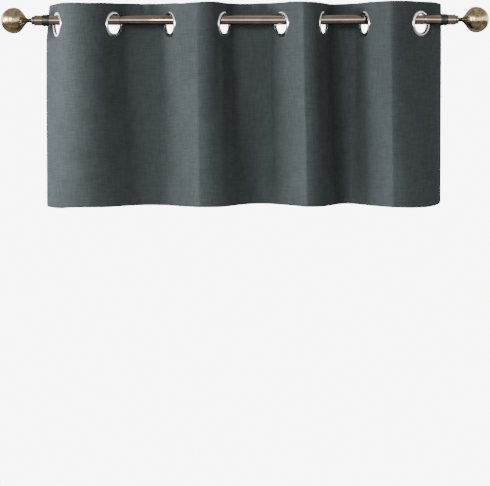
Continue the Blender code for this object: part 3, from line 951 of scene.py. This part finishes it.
# %% The metals
TARNISH_MIDDLE = 0.75
# The balls' neck is painted black as painted shade, and their outer ends painted brighter as a painted
# highlight.
NECK_PAINTED_SHADE = (0.020, 0.015, 0.012, 1.0)
PAINTED_HIGHLIGHT_BRASS = (1.34, 1.34, 1.10, 1.0)
NECK_SHADE_REACH = (0.003, 0.009)
PAINTED_HIGHLIGHT_REACH = (0.02, 0.06)


def mix_colours(tree, share, first, second, **settings):
    """A colour that goes from the first to the second while the share goes from 0 to 1."""
    inputs = {0: share, 6: first, 7: second}
    return add_node(tree, "ShaderNodeMix", inputs, data_type="RGBA", **settings).outputs[2]


def metal(name, dark, bright, rough, cloud_scale, stretch, spread, bump_strength, neck=None):
    """A metal whose colour and roughness follow its tarnish and its scratches.

    neck is how far along the rod the neck's groove lies. The colour is painted black in it as painted
    shade, and far out from it the colour is painted brighter as a painted highlight."""
    made, tree, shader = new_material(name)
    place = add_node(tree, "ShaderNodeTexCoord").outputs["Object"]
    inputs = {"Vector": place, "Cloud Scale": cloud_scale, "Stretch": stretch}
    rubbed = add_node(tree, "ShaderNodeGroup", inputs, node_tree=wear)
    scratches = rubbed.outputs["Scratches"]
    mask = maths(tree, "MULTIPLY_ADD", scratches, 0.5, rubbed.outputs["Tarnish"])
    shown = ramp(tree, mask, dark, bright, TARNISH_MIDDLE - spread, TARNISH_MIDDLE + spread)
    if neck is not None:
        parts = add_node(tree, "ShaderNodeSeparateXYZ", {0: place})
        away = maths(tree, "SUBTRACT", maths(tree, "ABSOLUTE", parts.outputs["X"]), neck)
        away = maths(tree, "ABSOLUTE", away)
        # Painted shade: the colour goes black in the neck's groove.
        shown = mix_colours(tree, remap(tree, away, *NECK_SHADE_REACH), NECK_PAINTED_SHADE, shown)
        # Painted highlight: the colour is brightened far out from the neck, towards the balls' outer ends.
        outer = remap(tree, away, *PAINTED_HIGHLIGHT_REACH)
        shown = mix_colours(tree, outer, shown, PAINTED_HIGHLIGHT_BRASS, blend_type="MULTIPLY")
    relief = maths(tree, "ADD", rubbed.outputs["Grain"], scratches)
    look = {
        "Metallic": 1.0,
        "Base Color": shown,
        "Roughness": remap(tree, mask, 0.45, 1.05, rough[1], rough[0]),
        "Normal": bump(tree, relief, bump_strength, 0.00005),
    }
    connect(tree, shader, look)
    return made


# A wear is the cloud scale, the stretch, the spread of tones, the bump strength, and on the balls the
# neck's place, where the painted shade and the painted highlight are centred. The other values are the
# dark and the bright colour and the range of roughness.
nickel_wear = (120.0, (1.0, 1.0, 0.2), 0.25, 0.15)
nickel = metal("bright_nickel", (0.50, 0.51, 0.52), (0.88, 0.88, 0.88), (0.10, 0.20), *nickel_wear)
# Painted shade: a dark nickel for the inside of the eyelets' barrels, where little light reaches.
dull_nickel = metal("dull_nickel", (0.05, 0.05, 0.055), (0.16, 0.16, 0.17), (0.35, 0.50), *nickel_wear)
brass_wear = (45.0, (0.03, 1.0, 1.0), 0.30, 0.10)
rod_brass = metal("rod_brass", (0.165, 0.12, 0.09), (0.285, 0.23, 0.178), (0.05, 0.09), *brass_wear)
ball_wear = (170.0, (0.15, 1.0, 1.0), 0.17, 0.80, 0.487)
ball_brass = metal("ball_brass", (0.142, 0.104, 0.066), (0.44, 0.35, 0.188), (0.16, 0.27), *ball_wear)
steel_wear = (80.0, (1.0, 0.2, 0.2), 0.30, 0.30)
band_steel = metal("band_steel", (0.026, 0.028, 0.031), (0.060, 0.064, 0.069), (0.32, 0.46), *steel_wear)

# %% [markdown]
# ## The eyelets
#
# A curtain eyelet is two pressed rings. The front cap is a domed ring that turns into a barrel, the
# barrel goes through the hole in the cloth, and a flat ring snaps onto it at the back. The dome is
# polished, and the inside of the barrel is painted dark as painted shade, so the faces inside take a
# second finish. One pair is spun, and a small tree puts a copy on each of eight points, turned as the
# cloth is turned there. The eight turns come from the same table as the cloth, as an attribute on the
# points. The points lie a third of a millimetre lower than the frame's eyelets, so that the rings settle
# onto the rod.

# %% One eyelet
RING_RADIUS = 0.0293
BARREL_RADIUS = 0.0220
BARREL_REACH = 0.0027
BACK_RADIUS = 0.0280
BACK_DEPTH = 0.0022
GAP = 0.0003
DOME_HEIGHT = 0.0030
SETTLING = 0.00033
INSIDE_RIM = 0.0012
EYELET_SIDES = 64


def cap_profile():
    """The front cap: the barrel, and a domed ring that rolls into it."""
    seat = THICKNESS / 2 + GAP
    ring = BORE_RADIUS + LIP_RADIUS
    half = (RING_RADIUS - BORE_RADIUS) / 2
    profile = [(BARREL_RADIUS, -BARREL_REACH), (BARREL_RADIUS, seat)]
    profile += [(RING_RADIUS - 0.0003, seat)]
    for turn in np.radians(np.linspace(24.0, 180.0, 27)):
        profile.append((BORE_RADIUS + half + half * math.cos(turn), DOME_HEIGHT * math.sin(turn)))
    profile += arc(ring, 0.0, LIP_RADIUS, 180.0, 232.0, 6)[1:]
    return profile


def back_profile():
    """The back ring: flat against the cloth, with a rounded outer face."""
    near = -(THICKNESS / 2 + GAP)
    far = near - BACK_DEPTH
    inner = BARREL_RADIUS + GAP
    outer = BACK_RADIUS
    profile = [(outer, near), (inner, near), (inner, far + 0.0004), (inner + 0.0004, far)]
    profile += arc(outer - 0.0018, near - 0.0009, 0.0013, -90.0, -10.0, 6)
    return profile


eyelet_pair = bmesh.new()
for half_profile in (cap_profile(), back_profile()):
    half_mesh = spun("eyelet_half", half_profile, EYELET_SIDES)
    eyelet_pair.from_mesh(half_mesh)
    bpy.data.meshes.remove(half_mesh)
eyelet_mesh = bpy.data.meshes.new("eyelet")
eyelet_pair.to_mesh(eyelet_mesh)
eyelet_pair.free()
eyelet_mesh.shade_smooth()
eyelet_mesh.set_sharp_from_angle(angle=SHARP_TURN)
one_eyelet = add_piece("one_eyelet", eyelet_mesh, nickel)
inside = BORE_RADIUS + INSIDE_RIM
# The faces inside the bore take the painted shade.
second_finish(eyelet_mesh, dull_nickel, lambda at: at.xy.length < inside and at.z < INSIDE_RIM)
print("one eyelet:", len(eyelet_mesh.polygons), "faces")

# %% Eight eyelets
eyelet_tree, tree_in, tree_out = new_group(
    "row_of_eyelets",
    "GeometryNodeTree",
    {"Seats": "Geometry", "Eyelet": "Object"},
    {"Eyelets": "Geometry"},
)
shape = add_node(eyelet_tree, "GeometryNodeObjectInfo", {"Object": tree_in.outputs["Eyelet"]})
turned = add_node(eyelet_tree, "GeometryNodeInputNamedAttribute", {"Name": "turn"}, data_type="FLOAT")
angles = add_node(
    eyelet_tree, "ShaderNodeCombineXYZ", {"X": math.radians(90.0), "Z": turned.outputs["Attribute"]}
)
facing = add_node(eyelet_tree, "FunctionNodeEulerToRotation", {"Euler": angles.outputs["Vector"]})
copies = real_copies(
    eyelet_tree, tree_in.outputs["Seats"], shape.outputs["Geometry"], facing.outputs["Rotation"]
)
connect(eyelet_tree, tree_out, {"Eyelets": copies})

seats = bpy.data.meshes.new("eyelets")
seats.from_pydata([(x, 0.0, -drop - SETTLING) for (x, _), drop in zip(EYELETS, EYELET_DROPS)], [], [])
turns = seats.attributes.new("turn", "FLOAT", "POINT")
turns.data.foreach_set("value", [math.radians(turn) for _, turn in EYELETS])
eyelets = run_tree(add_object("eyelets", seats), eyelet_tree, {"Eyelet": one_eyelet})
bpy.data.objects.remove(one_eyelet)
print("eyelets:", len(eyelets.data.polygons), "faces")

# %% [markdown]
# ## The rod and its finials
#
# The rod is a slim tube. It pulls out to length, so two hairline joints run round it, which show as
# fine dark lines: each is a shallow groove whose faces take the dark finish of the bands. Each end has
# a dark band, and beyond it the finial: a round base, a narrower step, a thin neck, and a ball that is
# drawn out towards the neck like an onion.

# %% Turn the rod, bands and finials
ROD_WALL = 0.0008
ROD_HALF = 0.4568
JOINTS = (-0.2815, 0.4057)
SEAM_HALF = 0.0007
SEAM_DEPTH = 0.0005
COLLAR_RADIUS = 0.0135
COLLAR_START = 0.4420
COLLAR_LENGTH = 0.0145
BASE_RADIUS = 0.0119
BASE_END = 0.4760
STEP_RADIUS = 0.0098
STEP_END = 0.4815
NECK_RADIUS = 0.0043
NECK_X = 0.4880
BALL_CENTRE_X = 0.5220
BALL_RADIUS = 0.0295
BALL_SHOULDER = 0.008
ONION_START = 0.027
ONION_PULL = 0.020
SPIGOT_LENGTH = 0.022
METAL_SIDES = 96


def turned_piece(name, profile, side, finish):
    """Spins a profile with its height along the rod, to the right for side 1."""
    mesh = spun(name, profile, METAL_SIDES)
    mesh.transform(Matrix.Rotation(math.radians(90.0 * side), 4, "Y"))
    return add_piece(name, mesh, finish)


def in_seam(centre):
    """Whether a face's centre lies in one of the rod's fine grooves."""
    return min(abs(centre.x - joint) for joint in JOINTS) < SEAM_HALF


def rod_profile():
    """The tube, with a fine groove at each joint."""
    outside = [(ROD_RADIUS - GAP, -ROD_HALF), (ROD_RADIUS, -ROD_HALF + GAP)]
    for joint in JOINTS:
        outside += [(ROD_RADIUS, joint - SEAM_HALF), (ROD_RADIUS - SEAM_DEPTH, joint)]
        outside += [(ROD_RADIUS, joint + SEAM_HALF)]
    outside += [(ROD_RADIUS, ROD_HALF - GAP), (ROD_RADIUS - GAP, ROD_HALF)]
    bore = ROD_RADIUS - ROD_WALL
    return outside + [(bore, ROD_HALF), (bore, -ROD_HALF)]


def band_profile():
    """A band with softened edges and a shallow waist."""
    inner = ROD_RADIUS + GAP
    end = COLLAR_START + COLLAR_LENGTH
    edge = 0.0008
    profile = [(inner, COLLAR_START)]
    profile += arc(COLLAR_RADIUS - edge, COLLAR_START + edge, edge, -90.0, 0.0, 5)
    profile += [(COLLAR_RADIUS - 0.0002, (COLLAR_START + end) / 2)]
    profile += arc(COLLAR_RADIUS - edge, end - edge, edge, 0.0, 90.0, 5)
    return profile + [(inner, end)]


def onion_curve(steps):
    """The finial's outline from its neck to the ball, meeting the ball without a corner."""
    shoulder_radius = math.sqrt(BALL_RADIUS**2 - BALL_SHOULDER**2)
    slope = BALL_SHOULDER / shoulder_radius
    controls = (
        (NECK_RADIUS, NECK_X),
        (NECK_RADIUS, BALL_CENTRE_X - ONION_START),
        (shoulder_radius - (ONION_PULL - BALL_SHOULDER) * slope, BALL_CENTRE_X - ONION_PULL),
        (shoulder_radius, BALL_CENTRE_X - BALL_SHOULDER),
    )
    return [tuple(point) for point in cubic(np.array(controls), steps)]


def finial_profile():
    """Spigot, base, step, neck and ball, from the rod outwards."""
    base = ROD_HALF + GAP
    spigot = ROD_RADIUS - ROD_WALL - GAP
    edge = 0.0006
    groove = 0.0012
    corner = 0.0012
    profile = [(0.0, base - SPIGOT_LENGTH), (spigot, base - SPIGOT_LENGTH), (spigot, base)]
    profile += [(BASE_RADIUS - edge, base), (BASE_RADIUS, base + edge)]
    profile += [(BASE_RADIUS, BASE_END - edge), (BASE_RADIUS - edge, BASE_END)]
    profile += [(STEP_RADIUS - groove, BASE_END)]
    profile += [(STEP_RADIUS - groove, BASE_END + groove)]
    profile += arc(STEP_RADIUS - corner, BASE_END + 0.0019, corner, -60.0, 0.0, 4)
    profile += arc(STEP_RADIUS - corner, STEP_END - corner, corner, 0.0, 70.0, 4)
    profile += [(NECK_RADIUS + 0.0010, STEP_END + 0.0022), (NECK_RADIUS, NECK_X)]
    profile += onion_curve(18)
    start = math.degrees(math.asin(-BALL_SHOULDER / BALL_RADIUS))
    profile += arc(0.0, BALL_CENTRE_X, BALL_RADIUS, start, 88.0, 30)[1:]
    return profile + [(0.0, BALL_CENTRE_X + BALL_RADIUS)]


rod = turned_piece("brass_rod", rod_profile(), 1, rod_brass)
second_finish(rod.data, band_steel, in_seam)
bands = []
finials = []
for name, side in (("left", -1), ("right", 1)):
    bands.append(turned_piece(f"steel_band_{name}", band_profile(), side, band_steel))
    finials.append(turned_piece(f"onion_finial_{name}", finial_profile(), side, ball_brass))
    second_finish(finials[-1].data, rod_brass, lambda centre: abs(centre.x) < STEP_END)
print("turned pieces:", 1 + len(bands) + len(finials))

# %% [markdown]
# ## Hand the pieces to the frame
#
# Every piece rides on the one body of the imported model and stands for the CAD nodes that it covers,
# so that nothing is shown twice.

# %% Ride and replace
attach(fabric, "root")
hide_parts("valance_cloth")
for row in stitches:
    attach(row, "root")

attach(eyelets, "root")
for number in range(1, len(EYELETS) + 1):
    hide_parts(f"eyelet_{number}_front", f"eyelet_{number}_back")
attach(rod, "root")
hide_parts("curtain_rod")
for name, band, finial in zip(("left", "right"), bands, finials):
    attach(band, "root")
    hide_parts(f"collar_{name}")
    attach(finial, "root")
    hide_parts(f"finial_{name}")

# %% [markdown]
# ## Light and floor
#
# The picture has a white background and one main light, far to the left, so the folds' left sides
# are bright, their right sides dark, and the cloth's left end is the brightest part. A second light
# further to the front fills the bottoms of the folds, a third one lifts the left end, and a weak one
# at the right keeps the folds' right sides from going black. Polished metal mirrors what is round it,
# so its mirror rays see another world than the cloth: a bright band at eye level that bends up towards
# the sides, between a dark lower room and a grey upper one. The floor is hidden from those rays.

# %% Studio light
WHITE = 8.0
CLOTH_LIGHT = 0.38
BAND_BEND = -0.17
ROOM_ENDS = (0.06, 0.25)
ROOM_LEVELS = (
    # degrees above the horizon, level
    (-57, 0.13),
    (-33, 0.062),
    (-15, 0.048),
    (-12, 1.0),
    (7, 1.0),
    (13, 0.21),
    (40, 0.13),
    (66, 0.14),
)
world = bpy.data.worlds.new("studio")
scene.world = world
world.use_nodes = True
tree = world.node_tree
background = tree.nodes["Background"]
rays = add_node(tree, "ShaderNodeLightPath")
heading = add_node(tree, "ShaderNodeTexCoord")
parts = add_node(tree, "ShaderNodeSeparateXYZ", {0: heading.outputs["Generated"]})
sideways = maths(tree, "ABSOLUTE", parts.outputs["X"])
bent = maths(tree, "MULTIPLY_ADD", sideways, BAND_BEND, parts.outputs["Z"])
room = ramp(tree, remap(tree, bent, -1.0, 1.0), *[(level,) * 3 for level in ROOM_ENDS])
for rise, level in ROOM_LEVELS:
    place = (math.sin(math.radians(rise)) + 1.0) / 2
    room.node.color_ramp.elements.new(place).color = (level, level, level, 1.0)
mirrored = maths(tree, "MULTIPLY", room, remap(tree, sideways, 0.25, 0.85, 4.9, 4.0))
soft = add_node(tree, "ShaderNodeMix", {0: rays.outputs["Is Glossy Ray"], 2: CLOTH_LIGHT, 3: mirrored})
seen = add_node(tree, "ShaderNodeMix", {0: rays.outputs["Is Camera Ray"], 2: soft.outputs[0], 3: WHITE})
connect(tree, background, {"Color": (1.0, 1.0, 1.0, 1.0), "Strength": seen.outputs[0]})


def area_light(name, place, target, size, power, colour=(1.0, 1.0, 1.0)):
    """A soft rectangular light aimed at a point."""
    light = bpy.data.lights.new(name, "AREA")
    light.shape = "RECTANGLE"
    light.size, light.size_y = size
    light.energy = power
    light.color = colour
    lamp = add_object(name, light)
    lamp.location = place
    lamp.rotation_euler = (Vector(target) - Vector(place)).to_track_quat("-Z", "Y").to_euler()


area_light("side_light", (-2.3, -0.95, 0.25), (0.0, 0.0, -0.2), (0.7, 0.7), 58.0, (0.97, 0.98, 1.0))
area_light("front_light", (-1.9, -3.5, 0.5), (0.0, 0.0, -0.2), (0.9, 0.9), 105.0)
area_light("end_light", (-2.4, -0.28, 0.1), (-0.4, 0.0, -0.2), (0.5, 0.5), 36.0, (0.83, 0.87, 1.0))
area_light("fill_light", (2.4, -1.6, 0.2), (0.2, 0.0, -0.2), (0.9, 0.9), 5.0)

# %% The floor
FLOOR_HEIGHT = -1.6
floor_mesh = bpy.data.meshes.new("floor")
floor_corners = [(-4.0, -4.0), (4.0, -4.0), (4.0, 1.8), (-4.0, 1.8)]
floor_mesh.from_pydata([(x, y, FLOOR_HEIGHT) for x, y in floor_corners], [], [(0, 1, 2, 3)])
pale, tree, shader = new_material("pale_floor")
mottle = noise(tree, add_node(tree, "ShaderNodeTexCoord").outputs["Object"], 3.0, 4.0)
paint = ramp(tree, mottle, (0.74, 0.74, 0.73), (0.82, 0.82, 0.81))
connect(tree, shader, {"Base Color": paint, "Roughness": 0.8})
floor = add_piece("floor", floor_mesh, pale)
floor.visible_glossy = False
print("floor at", FLOOR_HEIGHT)
